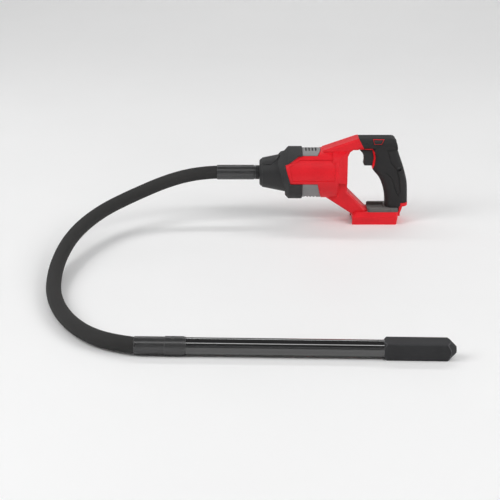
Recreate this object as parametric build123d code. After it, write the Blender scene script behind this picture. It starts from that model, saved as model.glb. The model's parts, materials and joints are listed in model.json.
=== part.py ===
"""Cordless concrete vibrator: a D-handle motor unit, a flexible shaft and a pencil head.

Row frame, millimetres: +X points from the nose towards the rear of the handle, +Y to the
operator's right, +Z up. The origin is on the floor, in the middle plane, under the foot.
The motor turns about an axis parallel to X. The hose leaves the nose along -X, comes down to
the floor and bends round to the head, which lies on the floor beside the tool.
"""
import os
from math import atan2, degrees, hypot, pi, radians, tan

from build123d import *

# ---- motor unit: driving dimensions ----
AXIS_Z = 85.0              # motor axis above the floor
BARREL_R = 41.0            # outside of the plain barrel wall
BARREL_BORE_R = 37.8       # inside of the barrel wall
PANEL_R = 43.2             # raised flank panels and rear band
PANEL_FIELD_R = 41.9       # recessed field of a flank panel
VENT_R = 42.6              # grey vent covers
COLLAR_R = 45.0            # rubber collar
BARREL_X = (-150.0, -61.0) # front and rear of the barrel
COLLAR_REAR_X = -122.2
BRIDGE_X = -44.5           # front edge of the hand opening
STRUT_HALF_W = 19.0
SEAM = 0.15                # half of the parting gap between the two housing halves

# ---- handle ----
HANDLE_TOP_Z = 148.0
HANDLE_UNDER_Z = 127.8
HANDLE_HALF_W = 19.0
SKIN = 2.2                 # thickness of the rubber overmould
SHELL = 2.5                # plastic wall under it
GRIP_CORNER = 12.0         # corner radius of the grip's section
# height, front x, rear x, half width of the grip, evenly spaced
GRIP_SECTIONS = (
    (142.0, -3.0, 38.6, 18.4),
    (130.0, -2.0, 40.4, 18.4),
    (118.0, -0.6, 43.8, 18.5),
    (106.0, -1.0, 48.2, 18.7),
    (94.0, -1.6, 52.2, 18.7),
    (82.0, 7.4, 55.6, 18.2),
    (70.0, 14.0, 58.3, 17.8),
    (58.0, 18.2, 59.3, 17.6),
    (46.0, 20.7, 59.7, 17.6),
    (34.0, 21.7, 59.9, 17.8),
    (22.0, 21.8, 60.0, 18.1),
    (10.0, 21.8, 60.0, 18.2),
)

# ---- foot and battery interface ----
FOOT_X = (-35.6, 40.6)
FOOT_HALF_W = 31.0
FOOT_WALL_Z = 13.0         # top of the upright walls
FOOT_TOP_Z = 20.0          # flat top, carries the grey cap
FOOT_TOP_HALF_W = 24.0
FOOT_CHAMFER = 1.0         # cut corners at the front of the foot
FOOT_CAP_X = (-8.6, 43.4)
FOOT_CAP_H = 6.6           # height of the grey rim on the foot
CHANNEL_HALF_W = 24.0      # battery channel above the rails
RAIL_HALF_W = 20.0         # clear width between the rails
RAIL_TOP_Z = 3.4

# ---- moving parts ----
TRIGGER_TRAVEL = 6.0
TRIGGER_REAR_X = 5.8
LOCK_TRAVEL = 4.0
SHAFT_R = 4.0
RUN_CLEAR = 0.04           # radial clearance of a shaft in its bearing

# ---- flexible shaft and head ----
HOSE_D = 22.4
HOSE_BORE_D = 14.0
CORE_D = 9.0
FERRULE_R = 12.65
HOSE_START_X = -267.7
HEAD_AXIS_Z = 13.0
HEAD_TURN = -1.96          # degrees about Z, head axis against +X
HEAD_START = (-364.6, -603.0)
HEAD_FERRULE_L = 69.3
HEAD_TUBE_L = 260.9
HEAD_TIP_L = 95.0
HEAD_TUBE_R = 11.8
HEAD_BORE_R = 9.6
HEAD_SQUARE = 24.0         # across the flats of the square tip
HEAD_ROLL = 5.0            # degrees by which the square lies turned about its axis

# The hose's route, laid by hand: straight out of the nose, down to the floor and round.
HOSE_ROUTE = [
    (HOSE_START_X + 3, 0, AXIS_Z),
    (-297, 0, 84.2),
    (-350, -11, 74),
    (-410, -42, 55.5),
    (-460, -98, 44),
    (-494, -185, 34),
    (-507, -280, 22),
    (-504, -373, 11.4),
    (-488, -448, 11.3),
    (-464, -511, 11.5),
    (-432, -562, 12),
    (-395, -592.5, 12.6),
    (HEAD_START[0] + 2.9, HEAD_START[1] - 0.7, HEAD_AXIS_Z),
]

os.makedirs("parts", exist_ok=True)
written = []


# ---- helpers ----
def save(name, solid):
    export_step(solid, f"parts/{name}.step")
    written.append(name)


def joined(pieces):
    """Fuse a list of solids."""
    whole = pieces[0]
    for piece in pieces[1:]:
        whole = whole + piece
    return whole


def block(x0, x1, y0, y1, z0, z1):
    return Pos((x0 + x1) / 2, (y0 + y1) / 2, (z0 + z1) / 2) * Box(x1 - x0, y1 - y0, z1 - z0)


def rod_x(radius, x0, x1, y=0.0, z=AXIS_Z):
    return Pos((x0 + x1) / 2, y, z) * Rot(0, 90, 0) * Cylinder(radius, x1 - x0)


def rod_y(radius, y0, y1, x, z):
    return Pos(x, (y0 + y1) / 2, z) * Rot(90, 0, 0) * Cylinder(radius, y1 - y0)


def ring_x(outer, inner, x0, x1, z=AXIS_Z):
    return rod_x(outer, x0, x1, 0, z) - rod_x(inner, x0 - 1, x1 + 1, 0, z)


def side_prism(points, y0, y1):
    """An outline in (x, z), extruded from y0 to y1."""
    face = make_face(Polyline(*[(x, y0, z) for x, z in points], close=True))
    return extrude(face, amount=y1 - y0, dir=(0, 1, 0))


def turned(points, z=AXIS_Z):
    """An outline in (x, radius), turned about the X direction at height z."""
    face = make_face(Polyline(*[(x, 0, r) for x, r in points], close=True))
    return Pos(0, 0, z) * revolve(face, Axis.X, 360)


def line_band(points, width, y0, y1):
    """A band of the given width along a line of (x, z) points, extruded in Y."""
    pieces = []
    for (xa, za), (xb, zb) in zip(points, points[1:]):
        length = hypot(xb - xa, zb - za)
        angle = degrees(atan2(zb - za, xb - xa))
        place = Pos((xa + xb) / 2, (y0 + y1) / 2, (za + zb) / 2) * Rot(0, -angle, 0)
        pieces.append(place * Box(length, y1 - y0, width))
    for x, z in points[1:-1]:
        pieces.append(rod_y(width / 2, y0, y1, x, z))
    return joined(pieces)


def both_sides(points, inner_y=8.0, outer_y=60.0):
    """The same side outline on the left and on the right flank."""
    return side_prism(points, -outer_y, -inner_y) + side_prism(points, inner_y, outer_y)


# ---- outlines in (x, z) ----
PANEL = [(-151, 105.5), (-128, 119.6), (-60, 119.6), (-60, 74.8), (-142.3, 74.8)]
PANEL_FIELD = [(-144.5, 104.2), (-125.5, 114.8), (-66, 114.8), (-66, 79.6), (-138.4, 79.6)]
REAR_BAND = [(-96, 119.6), (-87.5, 131), (-60, 131), (-60, 40), (-88.5, 40), (-96, 74.8)]
STRUTS = [(-87.5, 49), (-87.5, 127.0), (-32, 146.3), (-26.3, 147.7), (-26.3, 128),
          (-35, 128), (-40.5, 124), (BRIDGE_X, 115), (BRIDGE_X, 55.5), (-9, 19.8),
          (-9, 10), (-35.5, 10), (-35.5, 14.9)]
BRIDGE_SIDE = [(-76, 130), (-44, 130), (-44, 69), (-61, 75), (-76, 60)]
GRIP_END = [(45.3, 28.9), (43.8, 16), (43.8, 0), (80, 0), (80, 28.9)]
REAR_LIP = [(47.6, 34.5), (64, 34.5), (64, 29), (51.0, 28.5), (47.0, 17), (47.0, 12), (43.9, 12),
            (44.1, 16.4), (45.7, 28.7), (47.6, 28.7)]
HANDLE_SIDE = [(-40, 120), (-40, 149), (28.5, 149), (28.5, HANDLE_TOP_Z), (33.8, 146.6),
               (37.4, 143.0), (39.4, 137.6), (41.4, 124), (41.4, 120)]
RED_HANDLE = [(-60, 110), (-60, 160), (-26.5, 160), (-26.5, 148.6), (-15.2, 127), (-15.2, 110)]
BEZEL = [(-15.2, 124), (-15.2, 130.4), (-3.0, 130.4), (1.4, 123.5), (3.0, 114), (1.8, 103),
         (-1.0, 93.4), (-8.0, 93.4), (-8.0, 124)]


# ---- grip ----
def grip_solid(inset):
    """Grip and handle top, drawn in by inset on every side."""
    sections = []
    for z, front, rear, half_w in GRIP_SECTIONS:
        width = rear - front - 2 * inset
        depth = 2 * (half_w - inset)
        outline = RectangleRounded(width, depth, GRIP_CORNER - inset)
        face = Plane(((front + rear) / 2, 0, z)) * outline
        sections.append(face)
    column = loft(sections)
    height = HANDLE_TOP_Z - HANDLE_UNDER_Z - 2 * inset
    middle_z = (HANDLE_TOP_Z + HANDLE_UNDER_Z) / 2
    profile = Plane.YZ * RectangleRounded(2 * (HANDLE_HALF_W - inset), height, 8.5 - inset * 0.8)
    top = Pos(-27 + inset, 0, middle_z) * extrude(profile, amount=90)
    side = [(x - (inset if x > 0 else 0), z) for x, z in HANDLE_SIDE]
    return column + (top & side_prism(side, -30, 30))


def foot_outline(x0, x1, half_w, z):
    """Plan of the foot at height z: cut corners in front, round ones at the rear."""
    edge_x = x0 + FOOT_CHAMFER
    edge_y = half_w - FOOT_CHAMFER
    points = [(x0, -edge_y), (edge_x, -half_w), (x1, -half_w), (x1, half_w), (edge_x, half_w),
              (x0, edge_y)]
    face = make_face(Polyline(*points, close=True))
    rear = face.vertices().filter_by_position(Axis.X, x1 - 0.1, x1 + 0.1)
    return Pos(0, 0, z) * fillet(rear, 4.0)


def foot_solid():
    levels = [(FOOT_X[0], FOOT_X[1], FOOT_HALF_W, 0.0),
              (FOOT_X[0], 42.6, FOOT_HALF_W, FOOT_WALL_Z),
              (-30.0, 44.4, FOOT_TOP_HALF_W, FOOT_TOP_Z)]
    outlines = [foot_outline(*level) for level in levels]
    return loft(outlines[:2], ruled=True) + loft(outlines[1:], ruled=True)


# ---- housing ----
def outer_housing(core):
    front, rear = BARREL_X
    barrel = turned([(front, 0), (front, 38.4), (front + 2.8, BARREL_R), (rear, BARREL_R),
                     (rear, 0)])
    raised = turned([(front - 2, 0), (front - 2, 38.8), (front + 3.4, PANEL_R), (rear, PANEL_R),
                     (rear, 0)])
    panels = raised & both_sides(PANEL)
    field = ring_x(PANEL_R + 2, PANEL_FIELD_R, -152, BARREL_X[1]) & both_sides(PANEL_FIELD)
    band = rod_x(PANEL_R, -97, BARREL_X[1]) & side_prism(REAR_BAND, -60, 60)
    rear_edge = turned([(-66, 0), (-66, PANEL_R), (-62.5, PANEL_R), (-61, 41.5), (-61, 0)])
    round_body = barrel + (panels + (band - rod_x(60, -66, -50)) - field) + rear_edge
    plan = Polyline((-70, -36), (-61, -36), (BRIDGE_X, -21), (BRIDGE_X, 21), (-61, 36), (-70, 36),
                    close=True)
    section = Plane.YZ * RectangleRounded(72, 76, 24)
    bridge = Pos(-75, 0, 89) * extrude(section, amount=40)
    bridge = bridge & Pos(0, 0, 40) * extrude(make_face(plan), amount=100)
    bridge = bridge & side_prism(BRIDGE_SIDE, -40, 40)
    struts = side_prism(STRUTS, -STRUT_HALF_W, STRUT_HALF_W)
    long_edges = struts.edges().filter_by(Axis.Y, reverse=True)
    struts = chamfer(long_edges.filter_by_position(Axis.X, -87.4, -26.4), 3.0)
    red_top = grip_solid(0.0) & side_prism(RED_HANDLE, -30, 30)
    rear_lip = grip_solid(-0.4) & side_prism(REAR_LIP, -22, 22)
    pieces = [round_body, bridge, struts, foot_solid(), red_top, core, rear_lip]
    return joined(pieces)


SCREWS = [  # x, z, half length of the boss, head side: -1 left, +1 right
    (43.8, 95.0, 15.4, -1),
    (-26.0, 137.5, 16.0, 1),
    (-52.0, 118.0, 18.0, 1),
    (-53.0, 57.5, 18.0, 1),
    (49.0, 47.0, 13.6, 1),
]
SCREW_R = 2.0
SCREW_HEAD_R = 3.9
BOSS_R = 4.6


def housing_cavity():
    """The hollows inside the two halves: motor bay, ducts, bearing seat, board and shoe bays."""
    motor = rod_x(BARREL_BORE_R, -160, -71)
    bearing_seat = rod_x(9.5, -75, -62.5)
    top_duct = side_prism([(-66, 106), (-66, 126), (-38, 140), (-20, 144), (-20, 131), (-36, 131),
                           (-43, 126), (-47.5, 116), (-47.5, 106)], -15.5, 15.5)
    low_duct = side_prism([(-60, 62), (-47.5, 62), (-47.5, 54.3), (-12, 17.5), (-12, 12.5),
                           (-24, 12.5), (-31, 17), (-60, 36.5)], -15.5, 15.5)
    middle = block(-59.5, -47.6, -16, 16, 58, 112)
    wire_port = block(-74, -59, -6.5, 6.5, 46.6, 51.8)
    board_bay = block(-24, 37.5, -15.6, 15.6, 8.0, 15.8)
    grip_link = block(28, 40, -8, 8, 12.0, 30)
    shoe_bay = block(-32.5, 33.5, -27.5, 27.5, -1.0, 9.0)
    mouth = block(-42, -32, -24.4, 24.4, -1, 7.6)
    return [motor, bearing_seat, top_duct, low_duct, middle, wire_port, board_bay, grip_link,
            shoe_bay, mouth]


LABEL_X = (-31.0, 11.0)
LABEL_Z = (3.6, 8.0)


def trigger_opening():
    return block(-12, TRIGGER_REAR_X + TRIGGER_TRAVEL + 0.4, -9.8, 9.8, 98.4, 126.6)


VENT_NOTCH = (4.4, -116.8, 42.4)  # radius, x, z: bite across the barrel's underside
VENT_WINDOW_X = (-119.0, -97.2)
STRUT_NOTCH = [(-82.9, 132.0), (-78.5, 124.0), (-86.4, 123.2)]


def vent_notch():
    radius, x, z = VENT_NOTCH
    return rod_y(radius, -60, 60, x, z)


def vent_windows():
    """Openings of the barrel wall under the grey covers."""
    sides = both_sides([(-200, 79.5 - 9), (-200, 119.6 + 3), (0, 122.6), (0, 70.5)], 4.0)
    band = ring_x(BARREL_R + 3, BARREL_BORE_R - 1, *VENT_WINDOW_X)
    return band - sides


LOCK_OUTLINE = [(-0.6, 145.4), (15.0, 145.4), (11.4, 139.6), (0.8, 139.6)]


def lock_prism(margin, y0, y1):
    face = make_face(Polyline(*[(x, y0, z) for x, z in LOCK_OUTLINE], close=True))
    if margin:
        face = offset(face, amount=margin, kind=Kind.INTERSECTION)
    return extrude(face, amount=y1 - y0, dir=(0, 1, 0))


def screw_hole(x, z, half_w, side):
    """Pilot hole and counterbore, open on the head side."""
    if side > 0:
        return rod_y(SCREW_R + 0.1, -half_w + 3, 60, x, z) + rod_y(SCREW_HEAD_R + 0.4, 9, 60, x, z)
    return rod_y(SCREW_R + 0.1, -60, half_w - 3, x, z) + rod_y(SCREW_HEAD_R + 0.4, -60, -9, x, z)


def make_housing():
    core = grip_solid(SKIN) - side_prism(GRIP_END, -30, 30)
    outer = outer_housing(core)
    inner = grip_solid(SKIN + SHELL) - block(-50, 70, -30, 30, 0, 22)
    inner = inner - block(43.5, 70, -30, 30, 0, 40)
    solid = outer
    for space in housing_cavity():
        solid = solid - space
    solid = solid - inner - vent_windows() - trigger_opening() - lock_prism(0.5, -30, 30)
    solid = solid - vent_notch() - both_sides(STRUT_NOTCH, STRUT_HALF_W - 1.2)
    for y0, y1 in ((-60, 0.5 - FOOT_HALF_W), (FOOT_HALF_W - 0.5, 60)):
        solid = solid - block(*LABEL_X, y0, y1, *LABEL_Z)
    for x, z, half_w, side in SCREWS:
        solid = solid + (rod_y(BOSS_R, -half_w, half_w, x, z) & outer)
        solid = solid - screw_hole(x, z, half_w, side)
    left = solid & block(-200, 80, -60, -SEAM, -5, 170)
    right = solid & block(-200, 80, SEAM, 60, -5, 170)
    return left, right, core


def make_screws():
    screws = []
    for x, z, half_w, side in SCREWS:
        tip = -side * (half_w - 3.5)
        shank = rod_y(SCREW_R, min(tip, side * 9.2), max(tip, side * 9.2), x, z)
        head = rod_y(SCREW_HEAD_R, min(side * 9.05, side * 12), max(side * 9.05, side * 12), x, z)
        socket = rod_y(1.6, min(side * 10.2, side * 13), max(side * 10.2, side * 13), x, z)
        screws.append(shank + head - socket)
    return Compound(screws)


# ---- overmould and trims ----
RIDGE_LINE = [(24.0, 126.5), (30.5, 104.5), (39.0, 95.6), (44.5, 78.0), (45.4, 57.0)]
FINGER_LINE = [(19.2, 90.0), (31.5, 79.8), (39.0, 56.5), (43.8, 47.0)]
RIDGE_REAR = [(43.8, 47.0), (46.8, 54.0), (44.2, 77.5)]
TOP_LINE = [(22.6, 127.6), (40.2, 127.6)]
DOT = (-9.0, 141.0)


def make_overmould(core):
    skin = grip_solid(0.0) - core
    skin = skin & block(-60, 80, -30, 30, FOOT_TOP_Z + 1.8, 170)
    skin = skin - side_prism(RED_HANDLE, -30, 30) - side_prism(BEZEL, -30, 30) - trigger_opening()
    skin = skin - block(47.2, 70, -30, 30, 28.8, 34.8) - side_prism(GRIP_END, -30, 30)
    skin = skin - lock_prism(1.3, -30, 30)
    shallow = grip_solid(0.0) - grip_solid(0.9)
    moulded = (RIDGE_LINE, FINGER_LINE, RIDGE_REAR, TOP_LINE)
    lines = joined([line_band(points, 1.6, -30, 30) for points in moulded])
    skin = skin - (shallow & lines) - (shallow & rod_y(1.3, -30, 30, *DOT))
    for x, z, half_w, side in SCREWS:
        if x > 0:
            reach = (9.05, 30) if side > 0 else (-30, -9.05)
            lining = rod_y(SCREW_HEAD_R + 0.4, *reach, x, z) & grip_solid(0.0)
            skin = skin + lining - rod_y(SCREW_HEAD_R + 0.05, *reach, x, z)
    left = skin & block(-200, 80, -60, -SEAM, -5, 170)
    right = skin & block(-200, 80, SEAM, 60, -5, 170)
    return left, right


def make_trigger_bezel(core):
    rim = (grip_solid(-0.4) - core) & side_prism(BEZEL, -30, 30)
    return rim - trigger_opening() - grip_solid(SKIN)


def make_button_bezels():
    wall = grip_solid(-0.4) - grip_solid(SKIN)
    frames = []
    for y0, y1 in ((-30, 0), (0, 30)):
        frames.append((lock_prism(1.2, y0, y1) - lock_prism(0.5, -40, 40)) & wall)
    return Compound([frame.solids()[0] for frame in frames])


def make_trigger():
    outline = [(-24.0, 126.2), (-19.4, 121.4), (-16.6, 115.0), (-16.0, 108.0), (-17.0, 102.0),
               (-15.6, 99.2), (TRIGGER_REAR_X, 99.2), (TRIGGER_REAR_X, 126.2)]
    lever = side_prism(outline, -9.2, 9.2)
    front = lever.edges().filter_by_position(Axis.X, -24.1, -15.5).filter_by(Axis.Y, reverse=True)
    lever = fillet(front, 2.2)
    return lever + block(5, 12, -3.5, 3.5, 108, 116)


def make_lock_button():
    """Push-through bar: half of its travel stands proud on the left while at rest."""
    bar = lock_prism(0.0, -30, 30) & (Pos(0, -LOCK_TRAVEL / 2, 0) * grip_solid(0.0))
    grips = [block(x - 0.4, x + 0.4, -30, -20.4, 139, 146) for x in (2.6, 5.0, 7.4, 9.8)]
    return bar - joined(grips)


def make_switch():
    case = block(12.6, 32, -11.5, 11.5, 101, 125)
    return case - block(12, 25, -3.9, 3.9, 107.6, 116.4)


# ---- nose ----
def make_collar():
    band = turned([(-166, 31.1), (-166, 33.7), (-152.6, 37.2), (-146.4, 43.9), (-145.2, COLLAR_R),
                   (COLLAR_REAR_X - 0.8, COLLAR_R), (COLLAR_REAR_X, COLLAR_R - 0.8),
                   (COLLAR_REAR_X, BARREL_R + 0.15), (-147.1, BARREL_R + 0.15), (-150.3, 38.6),
                   (-150.3, 36.0), (-153, 33.4)])
    chevron = side_prism([(-200, 150), (-156.0, 150), (-156.6, 122), (-163.8, 108),
                          (-151.0, 62.6), (-150.5, 35), (-200, 35)], -60, 60)
    window = both_sides([(-151.5, 105.6), (-128.2, 120.0), (-60, 120.0), (-60, 74.4),
                         (-142.7, 74.4)])
    return band - chevron - window


def make_nose_cover():
    outer = [(-194.8, 13.4), (-194.8, 20.0), (-193.8, 21.9), (-192.0, 23.4), (-190.4, 24.0),
             (-190.0, 25.3), (-152.4, 32.8), (-150.5, 32.8)]
    inner = [(-150.5, 30.2), (-152, 30.0), (-189, 22.4), (-192, 20.4), (-192, 13.4)]
    cover = turned(outer + inner)
    shallow = ring_x(40, 0.1, -195, -150)
    shallow = shallow - turned([(-196, 0), (-196, 24.0), (-190.0, 24.6), (-150.0, 32.3), (-150, 0)])
    seam = [(-191.0, 103.5), (-174.5, 103.5), (-161.5, 114.0), (-158.0, 118.0)]
    return cover - (shallow & line_band(seam, 0.9, -60, 60))


def make_drive_housing():
    outline = [(-143, 33), (-143, 37.5), (-149.8, 37.5), (-149.8, 29.6), (-152, 29.5),
               (-188.8, 22.0), (-191.6, 20.0), (-191.6, 11.0), (-201.2, 11.0), (-201.2, 9.5),
               (-212, 9.5), (-212, 8.6), (-176, 8.6), (-176, 11.0), (-168.5, 11.0), (-166, 14),
               (-152, 24), (-147.5, 33)]
    return turned(outline)


def make_tool_ferrule():
    outline = [(-267.7, 7.5), (-267.7, 12.0), (-267.0, FERRULE_R), (-204.6, FERRULE_R),
               (-204.0, 11.7), (-203.0, 11.7), (-202.6, FERRULE_R - 0.3), (-201.4, FERRULE_R - 0.3),
               (-201.4, 9.6), (-212.4, 9.6), (-212.4, 7.5)]
    ferrule = turned(outline)
    flats = block(-236, -226, -20, 20, AXIS_Z + 12.0, AXIS_Z + 20)
    flats = flats + block(-236, -226, -20, 20, AXIS_Z - 20, AXIS_Z - 12.0)
    return ferrule - flats


# ---- vent covers ----
def make_vent_covers():
    band = ring_x(VENT_R, BARREL_R + 0.1, COLLAR_REAR_X + 0.3, -87.8)
    top = band & side_prism([(-123, 120.1), (-96.6, 120.1), (-88.0, 131), (-123, 131)], -60, 60)
    bottom = band & side_prism([(-123, 74.4), (-96.6, 74.4), (-89.0, 40), (-123, 40)], -60, 60)
    for x in (-115.5, -110.0, -104.5, -99.0):
        top = top - block(x - 1.3, x + 1.3, -12, 12, 119, 131)
        bottom = bottom - block(x - 1.3, x + 1.3, -22, 22, 38, 56)
    bottom = bottom - vent_notch()
    return top, bottom


def make_vent_screens():
    """Dust screens that fill the barrel's windows under the covers."""
    front, rear = VENT_WINDOW_X
    screen = ring_x(BARREL_R - 0.1, BARREL_R - 0.9, front + 0.1, rear - 0.1)
    wall = [(front - 5, 70.3), (front - 5, 122.8), (rear + 5, 122.8), (rear + 5, 70.3)]
    return (screen - both_sides(wall, 3.9)) - vent_notch()


# ---- motor ----
STATOR_X = (-132.0, -98.0)
SLOTS = 6


def make_stator():
    core = ring_x(37.6, 30.0, *STATOR_X)
    coils = []
    for i in range(SLOTS):
        turn = Pos(0, 0, AXIS_Z) * Rot(360 / SLOTS * i, 0, 0)
        tooth = block(*STATOR_X, -4.0, 4.0, 14.4, 31.0)
        shoe = block(*STATOR_X, -6.4, 6.4, 14.4, 16.4)
        core = core + turn * (tooth + shoe)
        coil = block(STATOR_X[0] - 4, STATOR_X[1] + 4, -7.2, 7.2, 16.8, 28.4)
        hole = block(STATOR_X[0] - 0.1, STATOR_X[1] + 0.1, -4.1, 4.1, 10, 40)
        coils.append(turn * (coil - hole))
    core = core & ring_x(37.6, 14.2, *STATOR_X)
    return core, Compound(coils)


def make_rotor():
    core = ring_x(13.4, SHAFT_R, -133, -97)
    magnets = []
    for i in range(4):
        turn = Pos(0, 0, AXIS_Z) * Rot(90 * i + 45, 0, 0)
        core = core - turn * block(-134, -96, -5.6, 5.6, 8.4, 10.6)
        magnets.append(turn * block(-132, -98, -5.5, 5.5, 8.5, 10.5))
    return core, Compound(magnets)


def make_fan():
    disc = ring_x(33.0, SHAFT_R, -82, -80) + ring_x(9.0, SHAFT_R, -90, -80)
    blades = []
    for i in range(11):
        blade = block(-89, -81.5, -0.8, 0.8, 11.5, 32.5)
        blades.append(Pos(0, 0, AXIS_Z) * Rot(360 / 11 * i, 0, 0) * Pos(0, 3, 0) * blade)
    return (disc + joined(blades)) & ring_x(33.0, SHAFT_R, -90, -80)


def make_drive_coupling():
    body = rod_x(7.8, -200, -184)
    socket = block(-201, -190.5, -3.2, 3.2, AXIS_Z - 3.2, AXIS_Z + 3.2)
    return body - rod_x(SHAFT_R, -190, -183) - socket


def make_tool_stub():
    """Square-ended stub of the flexible core, held in the coupling."""
    square = block(-206, -190.8, -3.0, 3.0, AXIS_Z - 3.0, AXIS_Z + 3.0)
    return square + rod_x(CORE_D / 2, HOSE_START_X + 0.4, -206)


def bearing(outer, shaft, x0, x1, z=AXIS_Z):
    """A ball bearing as one ring, with a shallow groove between its races on both faces."""
    ring = ring_x(outer, shaft + RUN_CLEAR, x0, x1, z)
    middle = (outer + shaft) / 2
    for face_x in (x0, x1):
        ring = ring - ring_x(middle + 1.2, middle - 1.2, face_x - 0.5, face_x + 0.5, z)
    return ring


# ---- electronics and battery interface ----
BLADE_YS = (-9.6, -3.2, 3.2, 9.6)


def make_shoe():
    shoe = block(-32.2, 33.2, -27.2, 27.2, 0.5, 8.8) + block(-21.5, 33.2, -15.2, 15.2, 8.7, 11.0)
    channel = block(-40, 26, -CHANNEL_HALF_W, CHANNEL_HALF_W, RAIL_TOP_Z, 7.4)
    slot = block(-40, 26, -RAIL_HALF_W, RAIL_HALF_W, 0, RAIL_TOP_Z + 0.1)
    tower = block(-18, 26, -13.8, 13.8, 7.3, 10.0)
    return shoe - channel - slot - tower


def make_terminal_block():
    body = block(14, 25.8, -13.5, 13.5, 2.6, 9.8)
    for y in BLADE_YS:
        body = body - block(13, 22, y - 0.45, y + 0.45, 3.4, 9.4)
    return body


def make_blades():
    return Compound([block(0, 21.8, y - 0.4, y + 0.4, 3.8, 9.0) for y in BLADE_YS])


def make_foot_cap():
    """Raised grey rim round the grip's base, open at the rear."""
    length = FOOT_CAP_X[1] - FOOT_CAP_X[0]
    width = 2 * (FOOT_TOP_HALF_W - 0.2)
    base = Pos(sum(FOOT_CAP_X) / 2, 0, FOOT_TOP_Z + 0.05)
    rim = base * extrude(RectangleRounded(length, width, 4), amount=FOOT_CAP_H)
    rim = chamfer(rim.faces().sort_by(Axis.Z)[-1].edges(), 1.2)
    rim = rim - grip_solid(-0.3) - block(30, 60, -17, 17, 17, 40)
    rim = rim - block(FOOT_CAP_X[0] - 1, 20, -17.5, 17.5, FOOT_TOP_Z + 1.8, 40)
    slash = line_band([(23.0, 14.0), (35.0, 30.0)], 1.1, -40, 40)
    return rim - (slash - block(10, 50, 1.0 - FOOT_TOP_HALF_W, FOOT_TOP_HALF_W - 1.0, 0, 40))


def wire(points, diameter, y, corner):
    path = FilletPolyline(*[(x, y, z) for x, z in points], radius=corner)
    start = Plane(origin=path @ 0, z_dir=path % 0)
    return sweep(start * Circle(diameter / 2), path=path)


def make_motor_leads():
    route = [(-91.7, 49.1), (-58, 49.1), (-26, 18.0), (-14, 14.4)]
    return Compound([wire(route, 2.4, y, 4.0) for y in (-4, 0, 4)])


def make_switch_leads():
    route = [(24, 100.7), (27, 80), (38, 58), (39, 36), (34, 24), (34, 13.2)]
    return Compound([wire(route, 2.4, y, 5.0) for y in (-3, 3)])


# ---- flexible shaft ----
def corner_radii(route):
    """The largest arcs that the runs allow, one for each corner."""
    points = [Vector(*p) for p in route]
    radii = []
    for before, at, after in zip(points, points[1:], points[2:]):
        run_in = at - before
        run_out = after - at
        half_turn = radians(run_in.get_angle(run_out)) / 2
        radii.append(0.45 * min(run_in.length, run_out.length) / tan(half_turn))
    return radii


def hose_tube(outer_d, inner_d):
    radii = corner_radii(HOSE_ROUTE)
    path = FilletPolyline(*HOSE_ROUTE, radius=radii)
    start = Plane(origin=path @ 0, z_dir=path % 0)
    tube = sweep(start * Circle(outer_d / 2), path=path)
    section = pi * outer_d ** 2 / 4
    volume = tube.volume
    if inner_d:
        tube = tube - sweep(start * Circle(inner_d / 2), path=path)
    print(f"tube {outer_d}: length {path.length:.1f}, "
          f"volume / (section x length) {volume / (section * path.length):.4f}")
    tube = tube - block(HOSE_START_X, HOSE_START_X + 30, -30, 30, 50, 120)
    return tube - head_place * block(0, 30, -30, 30, -30, 30)


# ---- head ----
head_place = Pos(HEAD_START[0], HEAD_START[1], HEAD_AXIS_Z) * Rot(0, 0, HEAD_TURN)
TUBE_X = (HEAD_FERRULE_L, HEAD_FERRULE_L + HEAD_TUBE_L)
TIP_X = (TUBE_X[1], TUBE_X[1] + HEAD_TIP_L)


def make_head_ferrule():
    outline = [(0, 7.5), (0, 11.5), (0.8, 12.15), (40.6, 12.15), (41.6, 12.9), (65.4, 12.9),
               (68.3, 12.0), (69.2, 12.0), (69.2, 10.0), (54, 10.0), (54, 7.5)]
    ferrule = turned(outline, 0)
    flats = block(49.5, 54.0, -20, 20, 11.9, 20) + block(49.5, 54.0, -20, 20, -20, -11.9)
    return ferrule - flats


def make_head_tube():
    return turned([(55, 8.6), (55, 9.95), (69.3, 9.95), (69.3, HEAD_TUBE_R),
                   (TUBE_X[1], HEAD_TUBE_R), (TUBE_X[1], HEAD_BORE_R), (70, HEAD_BORE_R),
                   (70, 8.6)], 0)


def make_head_tip():
    start, end = TIP_X
    bar = Plane.YZ * RectangleRounded(HEAD_SQUARE, HEAD_SQUARE, 1.4)
    bar = Pos(start, 0, 0) * Rot(HEAD_ROLL, 0, 0) * extrude(bar, amount=HEAD_TIP_L)
    envelope = turned([(start, 0), (start, 12.6), (start + 4.2, 17.2), (end - 12.5, 17.2),
                       (end, 4.5), (end, 0)], 0)
    spigot = rod_x(HEAD_BORE_R - 0.1, start - 12, start + 1, 0, 0)
    return (bar & envelope) + spigot


def make_eccentric():
    shaft = rod_x(3.0, 70.6, 314, 0, 0)
    weight = rod_x(8.4, 96, 292, 0, 0) & block(90, 300, -10, 10, -10, 0)
    return shaft + weight


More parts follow.
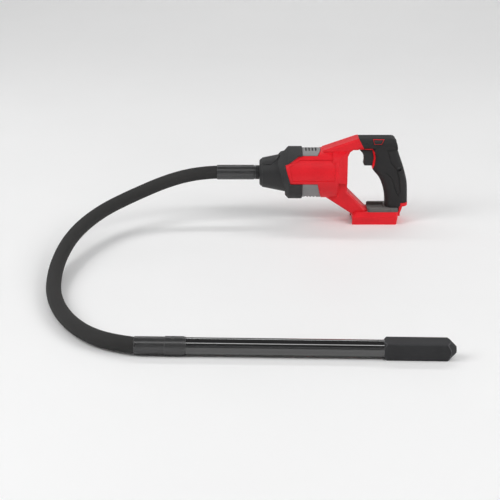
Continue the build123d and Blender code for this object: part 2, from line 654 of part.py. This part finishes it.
def make_all():
    housing_left, housing_right, core = make_housing()
    save("housing_left", housing_left)
    save("housing_right", housing_right)
    grip_left, grip_right = make_overmould(core)
    save("grip_left", grip_left)
    save("grip_right", grip_right)
    save("trigger_bezel", make_trigger_bezel(core))
    save("button_bezels", make_button_bezels())
    save("housing_screws", make_screws())
    save("front_collar", make_collar())
    save("nose_cover", make_nose_cover())
    save("drive_housing", make_drive_housing())
    save("nose_ring", ring_x(12.0, 11.1, -201.1, -195.0))
    save("tool_ferrule", make_tool_ferrule())
    vent_top, vent_bottom = make_vent_covers()
    save("vent_cover_top", vent_top)
    save("vent_cover_bottom", vent_bottom)
    save("vent_screens", make_vent_screens())
    stator, coils = make_stator()
    save("stator_core", stator)
    save("stator_coils", coils)
    save("sensor_board", ring_x(36.6, 12.0, -93.4, -91.8))
    save("front_bearing", bearing(11.0, SHAFT_R, -175.9, -168.9))
    save("rear_bearing", bearing(9.5, SHAFT_R, -71.0, -64.0))
    save("switch_module", make_switch())
    save("switch_leads", make_switch_leads())
    save("motor_leads", make_motor_leads())
    save("control_board", block(-20, 36.5, -15, 15, 11.5, 13.1))
    transistors = [block(x, x + 5, y, y + 6, 13.1, 14.8) for x in (-6, 3, 12) for y in (-12, 6)]
    save("power_transistors", Compound(transistors))
    save("battery_shoe", make_shoe())
    save("terminal_block", make_terminal_block())
    save("terminal_blades", make_blades())
    save("foot_cap", make_foot_cap())
    # moving: trigger and lock button
    save("trigger", make_trigger())
    save("lock_button", make_lock_button())
    # moving: rotor
    save("rotor_shaft", rod_x(SHAFT_R, -190, -63.5))
    rotor, magnets = make_rotor()
    save("rotor_core", rotor)
    save("rotor_magnets", magnets)
    save("cooling_fan", make_fan())
    save("drive_coupling", make_drive_coupling())
    save("core_tool_stub", make_tool_stub())
    # flexible shaft
    print("hose corner radii", [round(r) for r in corner_radii(HOSE_ROUTE)])
    save("hose", hose_tube(HOSE_D, HOSE_BORE_D))
    save("flexible_core", hose_tube(CORE_D, 0))
    # head
    save("head_ferrule", head_place * make_head_ferrule())
    save("head_tube", head_place * make_head_tube())
    save("head_tip", head_place * make_head_tip())
    save("head_bearing_rear", head_place * bearing(HEAD_BORE_R, 3.0, 78, 88, 0))
    save("head_bearing_front", head_place * bearing(HEAD_BORE_R, 3.0, 300, 310, 0))
    save("oil_seal", head_place * ring_x(HEAD_BORE_R, 3.3, 71.0, 75.0, 0))
    save("eccentric_rotor", head_place * make_eccentric())
    save("core_head_stub", head_place * rod_x(CORE_D / 2, 0.6, 70.4, 0, 0))


make_all()
print(len(written), "nodes")
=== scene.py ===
"""Looks of the cordless concrete vibrator: camera, hose, materials, floor and light.

Everything is in metres in the CAD model's frame: +X to the rear of the handle, +Y to the
operator's right, +Z up, the floor at z = 0.
"""
import json
import math

import bpy
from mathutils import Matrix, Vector


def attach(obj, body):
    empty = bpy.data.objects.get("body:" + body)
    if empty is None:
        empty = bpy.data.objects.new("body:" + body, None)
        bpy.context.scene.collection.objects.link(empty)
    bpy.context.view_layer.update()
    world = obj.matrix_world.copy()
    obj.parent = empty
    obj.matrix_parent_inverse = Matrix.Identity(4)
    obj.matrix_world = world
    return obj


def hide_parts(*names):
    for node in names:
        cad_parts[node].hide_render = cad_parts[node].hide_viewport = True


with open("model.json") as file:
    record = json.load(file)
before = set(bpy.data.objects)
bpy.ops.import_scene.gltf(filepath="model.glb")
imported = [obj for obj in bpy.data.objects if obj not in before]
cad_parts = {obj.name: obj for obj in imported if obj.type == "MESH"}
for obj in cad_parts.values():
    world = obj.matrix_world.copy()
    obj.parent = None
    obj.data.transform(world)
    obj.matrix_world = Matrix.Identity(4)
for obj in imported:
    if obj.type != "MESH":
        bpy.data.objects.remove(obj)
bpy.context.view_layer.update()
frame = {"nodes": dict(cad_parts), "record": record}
NODES = frame["nodes"]

# ---- camera ----
LENS_MM = 100.0
SENSOR_MM = 36.0
CAMERA_AT = (-0.211, -2.3075, 0.718)
CAMERA_PITCH = 71.45       # degrees from straight down


def make_camera():
    data = bpy.data.cameras.new("camera")
    data.lens = LENS_MM
    data.sensor_width = SENSOR_MM
    camera = bpy.data.objects.new("camera", data)
    camera.location = CAMERA_AT
    camera.rotation_euler = (math.radians(CAMERA_PITCH), 0.0, 0.0)
    bpy.context.collection.objects.link(camera)
    bpy.context.scene.camera = camera


# ---- hose ----
HOSE_D = 0.0224
# The route as laid in the CAD: straight out of the nose, down to the floor and round.
HOSE_ROUTE = [
    (-0.2647, 0, 0.085),
    (-0.297, 0, 0.0842),
    (-0.350, -0.011, 0.074),
    (-0.410, -0.042, 0.0555),
    (-0.460, -0.098, 0.044),
    (-0.494, -0.185, 0.034),
    (-0.507, -0.280, 0.022),
    (-0.504, -0.373, 0.0114),
    (-0.488, -0.448, 0.0113),
    (-0.464, -0.511, 0.0115),
    (-0.432, -0.562, 0.012),
    (-0.395, -0.5925, 0.0126),
    (-0.3617, -0.6037, 0.013),
]


def make_hose():
    curve = bpy.data.curves.new("rubber_hose", "CURVE")
    curve.dimensions = "3D"
    spline = curve.splines.new("NURBS")
    spline.points.add(len(HOSE_ROUTE) - 1)
    for point, place in zip(spline.points, HOSE_ROUTE):
        point.co = (*place, 1.0)
        point.radius = HOSE_D / 2      # the tube's radius, as the bevel depth is 1
    spline.order_u = 3
    spline.use_endpoint_u = True
    spline.resolution_u = 24
    curve.bevel_depth = 1.0
    curve.bevel_resolution = 10
    curve.use_fill_caps = True
    hose = bpy.data.objects.new("rubber_hose", curve)
    bpy.context.collection.objects.link(hose)
    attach(hose, "motor_unit")
    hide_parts("hose", "flexible_core")
    return hose


# ---- material helpers ----
EDGE_COSINES = (0.995, 0.90)   # cosine between plain and rounded normal, off and on an edge
MOTTLE = (0.3, 0.7)            # the range of a broad noise


class Surface:
    """One material's node tree, in object coordinates, which are metres in the row frame."""

    def __init__(self, name):
        self.material = bpy.data.materials.new(name)
        self.material.use_nodes = True
        self.tree = self.material.node_tree
        self.tree.nodes.clear()
        self.out = self.add("ShaderNodeOutputMaterial")
        self.shader = self.add("ShaderNodeBsdfPrincipled")
        self.place = self.add("ShaderNodeTexCoord").outputs["Object"]
        self.join(self.shader.outputs[0], self.out.inputs["Surface"])
        self.normal = None

    def add(self, kind, **settings):
        node = self.tree.nodes.new(kind)
        for key, value in settings.items():
            setattr(node, key, value)
        return node

    def join(self, source, target):
        self.tree.links.new(source, target)

    def stretched(self, factors):
        """The object coordinates, scaled by a factor for each axis."""
        node = self.add("ShaderNodeMapping")
        node.inputs["Scale"].default_value = factors
        self.join(self.place, node.inputs["Vector"])
        return node.outputs[0]

    def noise(self, scale, detail=3.0, roughness=0.5, place=None):
        """Soft random values of about 0.3 to 0.7. A larger scale is a finer grain."""
        node = self.add("ShaderNodeTexNoise")
        node.inputs["Scale"].default_value = scale
        node.inputs["Detail"].default_value = detail
        node.inputs["Roughness"].default_value = roughness
        self.join(place or self.place, node.inputs["Vector"])
        return node.outputs["Fac"]

    def cells(self, scale):
        """The distance from the middle of the nearest of many small cells."""
        node = self.add("ShaderNodeTexVoronoi", feature="F1")
        node.inputs["Scale"].default_value = scale
        self.join(self.place, node.inputs["Vector"])
        return node.outputs["Distance"]

    def rows(self, scale, direction):
        """Parallel lines across one axis."""
        node = self.add("ShaderNodeTexWave", bands_direction=direction)
        node.inputs["Scale"].default_value = scale
        self.join(self.place, node.inputs["Vector"])
        return node.outputs["Fac"]

    def spread(self, fac, low, high, to_low=0.0, to_high=1.0):
        """Fac between low and high, stretched to to_low..to_high."""
        node = self.add("ShaderNodeMapRange")
        for key, value in zip(("From Min", "From Max", "To Min", "To Max"),
                              (low, high, to_low, to_high)):
            node.inputs[key].default_value = value
        self.join(fac, node.inputs["Value"])
        return node.outputs["Result"]

    def times(self, a, b):
        node = self.add("ShaderNodeMath", operation="MULTIPLY")
        self.join(a, node.inputs[0])
        self.join(b, node.inputs[1])
        return node.outputs[0]

    def mix(self, fac, first, second):
        """A colour between first and second. Either is a colour or another node's output."""
        node = self.add("ShaderNodeMix", data_type="RGBA")   # colours: inputs 6, 7, output 2
        for socket, value in ((node.inputs[6], first), (node.inputs[7], second)):
            if isinstance(value, tuple):
                socket.default_value = (*value, 1.0)
            else:
                self.join(value, socket)
        self.join(fac, node.inputs[0])
        return node.outputs[2]

    def bevel(self, radius):
        """Rounds edges in the shading and gives a mask that is 1 on them."""
        node = self.add("ShaderNodeBevel", samples=6)
        node.inputs["Radius"].default_value = radius
        self.normal = node.outputs[0]
        plain = self.add("ShaderNodeNewGeometry").outputs["Normal"]
        dot = self.add("ShaderNodeVectorMath", operation="DOT_PRODUCT")
        self.join(plain, dot.inputs[0])
        self.join(node.outputs[0], dot.inputs[1])
        return self.spread(dot.outputs["Value"], *EDGE_COSINES)

    def bump(self, height, distance):
        """Relief of the given depth in metres, on top of the relief before it."""
        node = self.add("ShaderNodeBump")
        node.inputs["Distance"].default_value = distance
        node.inputs["Strength"].default_value = 1.0
        self.join(height, node.inputs["Height"])
        if self.normal is not None:
            self.join(self.normal, node.inputs["Normal"])
        self.normal = node.outputs[0]

    def done(self, colour, roughness, metallic=0.0, coat=0.0, specular=0.5, coat_rough=0.25):
        """Joins everything to the shader and gives the material."""
        sockets = self.shader.inputs
        self.join(colour, sockets["Base Color"])
        self.join(roughness, sockets["Roughness"])
        sockets["Metallic"].default_value = metallic
        sockets["Coat Weight"].default_value = coat
        sockets["Coat Roughness"].default_value = coat_rough
        sockets["Specular IOR Level"].default_value = specular
        if self.normal is not None:
            self.join(self.normal, sockets["Normal"])
        return self.material


def shade(colour, factor):
    """The colour, lighter or darker by a factor."""
    return tuple(min(1.0, channel * factor) for channel in colour)


# ---- finishes ----
def moulded(name, colour, rough=(0.38, 0.5), grain=1400.0, depth=0.00006, edge=0.0006,
            edge_lightening=1.5, specular=0.5):
    """Injection-moulded plastic: fine sparked texture, soft mottling, and edges painted lighter,
    partly polish from wear and partly a painted highlight.
    """
    look = Surface(name)
    on_edge = look.bevel(edge)
    broad = look.noise(28.0, 4.0)
    fine = look.noise(420.0, 3.0)
    look.bump(look.noise(grain, 2.0, 0.6), depth)
    look.bump(look.noise(90.0, 2.0), 0.00012)
    body = look.mix(look.spread(broad, *MOTTLE), shade(colour, 0.93), shade(colour, 1.06))
    body = look.mix(look.spread(fine, 0.55, 0.75), body, shade(colour, 0.88))
    # The edges are painted lighter: partly wear, partly a painted highlight along the rounded edges.
    edge_wear_and_highlight = look.times(on_edge, look.spread(look.noise(160.0, 4.0), 0.4, 0.65))
    body = look.mix(edge_wear_and_highlight, body, shade(colour, edge_lightening))
    return look.done(body, look.spread(broad, *MOTTLE, *rough), specular=specular)


def rubber(name, colour, grain=900.0, edge=0.0008):
    """Soft overmould: matt, with a fine pebble, a little dust, and edges painted lighter, partly
    rubbed wear and partly a painted highlight.
    """
    look = Surface(name)
    on_edge = look.bevel(edge)
    broad = look.noise(22.0, 5.0, 0.6)
    look.bump(look.cells(grain), 0.0001)
    look.bump(look.noise(70.0, 3.0), 0.0002)
    body = look.mix(look.spread(broad, 0.35, 0.7), colour, shade(colour, 1.25))
    clouds = look.spread(look.noise(9.0, 6.0, 0.65), 0.48, 0.7)
    dusty = look.times(clouds, look.spread(look.noise(600.0), 0.4, 0.7))
    body = look.mix(dusty, body, shade(colour, 1.7))
    # The edges are painted lighter: partly rubbed wear, partly a painted highlight.
    rubbed_and_highlit_edge = look.times(on_edge, look.spread(look.noise(120.0), 0.3, 0.6))
    body = look.mix(rubbed_and_highlit_edge, body, shade(colour, 2.3))
    return look.done(body, look.spread(broad, *MOTTLE, 0.62, 0.8), specular=0.4)


# How the tool marks of a metal run: the object coordinates' factors along X, Y and Z.
CUTS = {"turned": (1.0, 0.04, 0.04), "drawn": (0.05, 1.0, 1.0), "cast": (1.0, 1.0, 1.0)}


def turned_metal(name, colour, rough=(0.25, 0.4), metallic=1.0, cut="turned", bright=1.5,
                 depth=0.00002):
    """Bare metal with fine tool marks, bright edges and faint handling marks."""
    look = Surface(name)
    on_edge = look.bevel(0.0003)
    cuts = look.noise(900.0, 2.0, 0.6, look.stretched(CUTS[cut]))
    broad = look.noise(35.0, 4.0, 0.6)
    look.bump(cuts, depth)
    body = look.mix(look.spread(broad, *MOTTLE), shade(colour, 0.85), shade(colour, 1.12))
    body = look.mix(look.spread(cuts, 0.35, 0.75), body, shade(colour, 1.25))
    edge_lightening = look.times(on_edge, look.spread(look.noise(240.0, 4.0), 0.35, 0.6))
    body = look.mix(edge_lightening, body, shade(colour, bright))
    return look.done(body, look.spread(broad, *MOTTLE, *rough), metallic=metallic)


def glossy_tube(name, colour):
    """Polished black tube: mirror-like, with hairline scuffs along it."""
    look = Surface(name)
    scuffs = look.noise(500.0, 4.0, 0.6, look.stretched((0.06, 1.0, 1.0)))
    broad = look.noise(14.0, 4.0, 0.6)
    look.bump(scuffs, 0.000003)
    body = look.mix(look.spread(scuffs, 0.62, 0.8), colour, shade(colour, 2.0))
    return look.done(body, look.spread(broad, 0.35, 0.7, 0.07, 0.12), coat=1.0, specular=1.0,
                     coat_rough=0.06)


def black_oxide(name, colour):
    """Matt black oxide on ground steel: grinding marks, and edges painted grey, partly wear and
    partly a painted highlight line.
    """
    look = Surface(name)
    on_edge = look.bevel(0.0013)
    broad = look.noise(30.0, 5.0, 0.6)
    marks = look.noise(700.0, 3.0, 0.6, look.stretched((0.08, 1.0, 1.0)))
    look.bump(marks, 0.00003)
    look.bump(look.noise(260.0, 4.0), 0.00005)
    body = look.mix(look.spread(broad, *MOTTLE), shade(colour, 0.85), shade(colour, 1.2))
    body = look.mix(look.spread(marks, 0.6, 0.8), body, shade(colour, 1.5))
    # The edges are painted much lighter: partly wear, partly a painted highlight line.
    edge_lightening = look.times(on_edge, look.spread(look.noise(200.0, 4.0), 0.2, 0.5))
    body = look.mix(edge_lightening, body, shade(colour, 6.5))
    return look.done(body, look.spread(broad, *MOTTLE, 0.55, 0.68), metallic=0.1, specular=0.25)


def hose_rubber(name, colour):
    """Cloth-cured hose: a faint wrap texture, scuffs and cement dust."""
    look = Surface(name)
    weave = look.noise(1100.0, 2.0, 0.5)
    broad = look.noise(16.0, 5.0, 0.6)
    look.bump(weave, 0.00008)
    look.bump(look.noise(120.0, 3.0), 0.00012)
    body = look.mix(look.spread(broad, 0.35, 0.7), colour, shade(colour, 1.3))
    patches = look.spread(look.noise(18.0, 3.0), 0.45, 0.6)
    scuffed = look.times(look.spread(look.noise(260.0, 5.0, 0.7), 0.62, 0.78), patches)
    body = look.mix(scuffed, body, shade(colour, 2.2))
    return look.done(body, look.spread(broad, *MOTTLE, 0.74, 0.88), specular=0.22)


def laminations(name, colour):
    """Stacked electrical sheet: thin lines across the axis."""
    look = Surface(name)
    lines = look.rows(450.0, "X")
    look.bump(lines, 0.00008)
    body = look.mix(lines, shade(colour, 0.7), shade(colour, 1.1))
    return look.done(body, look.spread(look.noise(80.0), *MOTTLE, 0.4, 0.6), metallic=0.8)


def windings(name, colour):
    """Enamelled copper wire, side by side."""
    look = Surface(name)
    turns = look.rows(300.0, "DIAGONAL")
    look.bump(turns, 0.0003)
    body = look.mix(turns, shade(colour, 0.55), colour)
    return look.done(body, look.spread(look.noise(120.0), *MOTTLE, 0.25, 0.4), metallic=0.6)


def circuit_board(name, colour):
    """Solder mask with copper tracks under it."""
    look = Surface(name)
    tracks = look.spread(look.cells(260.0), 0.25, 0.3)
    body = look.mix(tracks, shade(colour, 1.5), colour)
    look.bump(tracks, 0.00003)
    return look.done(body, look.spread(look.noise(60.0), *MOTTLE, 0.3, 0.45))


# slot: its kind of surface, its colour and what else that surface takes
FINISHES = {
    "red_plastic": (moulded, (0.80, 0.012, 0.022), dict(rough=(0.36, 0.46), edge_lightening=1.15, specular=0.3)),
    "red_trim": (moulded, (0.80, 0.014, 0.022), dict(rough=(0.32, 0.42), edge_lightening=1.15, specular=0.3)),
    "grip_rubber": (rubber, (0.016, 0.0155, 0.016), {}),
    "collar_rubber": (rubber, (0.029, 0.029, 0.030), dict(grain=700.0, edge=0.0014)),
    "cover_dark": (moulded, (0.026, 0.026, 0.027),
                   dict(rough=(0.42, 0.55), edge_lightening=2.6, specular=0.35, edge=0.0012)),
    "vent_grey": (moulded, (0.25, 0.248, 0.25), dict(rough=(0.45, 0.58), edge_lightening=1.3)),
    "cap_grey": (moulded, (0.13, 0.125, 0.12), dict(rough=(0.45, 0.6), edge_lightening=1.3)),
    "black_plastic": (moulded, (0.014, 0.014, 0.015), dict(rough=(0.4, 0.55), edge_lightening=2.5)),
    "die_cast": (turned_metal, (0.22, 0.224, 0.228), dict(rough=(0.45, 0.6), cut="cast")),
    "steel": (turned_metal, (0.56, 0.56, 0.57), {}),
    "black_steel": (turned_metal, (0.075, 0.075, 0.076),
                    dict(rough=(0.26, 0.34), metallic=0.7, cut="drawn", bright=2.6, depth=0.000003)),
    "head_black": (glossy_tube, (0.006, 0.006, 0.0065), {}),
    "tip_dark": (black_oxide, (0.034, 0.034, 0.036), {}),
    "hose_rubber": (hose_rubber, (0.030, 0.0295, 0.029), {}),
    "copper": (windings, (0.72, 0.33, 0.16), {}),
    "brass": (turned_metal, (0.75, 0.58, 0.28), dict(rough=(0.25, 0.35), cut="cast")),
    "board": (circuit_board, (0.01, 0.09, 0.035), {}),
    "wire_red": (moulded, (0.45, 0.02, 0.02), dict(grain=3000.0, depth=0.00002)),
    "lamination": (laminations, (0.3, 0.3, 0.31), {}),
    "magnet": (turned_metal, (0.4, 0.4, 0.41), dict(cut="cast")),
}


def give_materials(hose):
    made = {slot: finish(slot, colour, **options)
            for slot, (finish, colour, options) in FINISHES.items()}
    slots = {part["node"]: part["material_slot"] for part in frame["record"]["subparts"]}
    for name, node in NODES.items():
        material = made[slots[name]]
        if not node.material_slots:
            node.data.materials.append(material)
        for place in node.material_slots:
            place.material = material
    hose.data.materials.append(made["hose_rubber"])


# ---- floor ----
FLAT_RADIUS = 5.5
INNER_RINGS = (0.6, 2.0)   # radii of the rings of points inside the flat part
BEND_RADIUS = 1.5
BEND_STEPS = 10
WALL_TOP = 4.0
AROUND = 96                # points in each ring


def make_floor():
    """A round, flat floor that turns up into a wall all round, far beyond every camera."""
    profile = [(radius, 0.0) for radius in (*INNER_RINGS, FLAT_RADIUS)]
    for step in range(1, BEND_STEPS + 1):
        angle = math.radians(90 * step / BEND_STEPS)
        profile.append((FLAT_RADIUS + BEND_RADIUS * math.sin(angle),
                        BEND_RADIUS - BEND_RADIUS * math.cos(angle)))
    profile.append((FLAT_RADIUS + BEND_RADIUS, WALL_TOP))
    verts = [(0.0, 0.0, 0.0)]
    for radius, height in profile:
        for step in range(AROUND):
            angle = 2 * math.pi * step / AROUND
            verts.append((radius * math.cos(angle), radius * math.sin(angle), height))
    faces = [(0, 1 + step, 1 + (step + 1) % AROUND) for step in range(AROUND)]
    for ring in range(len(profile) - 1):
        first = 1 + ring * AROUND
        for step in range(AROUND):
            after = (step + 1) % AROUND
            faces.append((first + step, first + AROUND + step, first + AROUND + after,
                          first + after))
    mesh = bpy.data.meshes.new("floor")
    mesh.from_pydata(verts, [], faces)
    for face in mesh.polygons:
        face.use_smooth = True
    floor = bpy.data.objects.new("floor", mesh)
    bpy.context.collection.objects.link(floor)
    look = Surface("floor")
    body = look.mix(look.noise(3.0), (0.92, 0.92, 0.92), (0.95, 0.95, 0.95))
    mesh.materials.append(look.done(body, look.spread(look.noise(8.0), *MOTTLE, 0.5, 0.6)))


# ---- light ----
SKY_STRENGTH = 0.13
OBJECT_MIDDLE = (-0.22, -0.3, 0.05)
# name: place, size and power of a light that points at the object
OBJECT_LIGHTS = {
    "left_box": ((-2.1, -1.0, 1.7), (1.4, 1.4), 28.0),
    "right_box": ((1.7, -1.0, 1.7), (1.4, 1.4), 28.0),
    "overhead": ((-0.2, -1.85, 2.3), (2.6, 0.4), 9.0),
    "rear_strip": ((-0.2, 0.9, 1.5), (2.8, 0.2), 9.0),
}
# name: the direction along X and Y in which a light brightens the outer floor, and its power
FLOOR_LIGHTS = {
    "far_floor": (0, 1, 45.0),
    "near_floor": (0, -1, 18.0),
    "right_floor": (1, 0, 35.0),
    "left_floor": (-1, 0, 35.0),
}
FLOOR_LIGHT_OUT = 2.2      # from the middle of the floor
FLOOR_LIGHT_UP = 2.6
FLOOR_LIGHT_AIM = 4.8      # it points at the floor this far out
FLOOR_LIGHT_SIZE = (2.4, 1.2)


def soft_light(name, place, target, size, power):
    data = bpy.data.lights.new(name, "AREA")
    data.shape = "RECTANGLE"
    data.size, data.size_y = size
    data.energy = power
    light = bpy.data.objects.new(name, data)
    light.location = place
    aim = Vector(target) - Vector(place)
    light.rotation_euler = aim.to_track_quat("-Z", "Y").to_euler()
    light.visible_camera = False
    bpy.context.collection.objects.link(light)


def make_lights():
    world = bpy.data.worlds.new("studio")
    world.use_nodes = True
    sky = world.node_tree.nodes["Background"]
    sky.inputs["Color"].default_value = (1.0, 1.0, 1.0, 1.0)
    sky.inputs["Strength"].default_value = SKY_STRENGTH
    bpy.context.scene.world = world
    for name, (place, size, power) in OBJECT_LIGHTS.items():
        soft_light(name, place, OBJECT_MIDDLE, size, power)
    for name, (x, y, power) in FLOOR_LIGHTS.items():
        soft_light(name, (x * FLOOR_LIGHT_OUT, y * FLOOR_LIGHT_OUT, FLOOR_LIGHT_UP),
                   (x * FLOOR_LIGHT_AIM, y * FLOOR_LIGHT_AIM, 0.0), FLOOR_LIGHT_SIZE, power)


make_camera()
hose_piece = make_hose()
give_materials(hose_piece)
make_floor()
make_lights()
bpy.context.scene.view_settings.view_transform = "Standard"    # keeps the red saturated

bpy.context.view_layer.update()
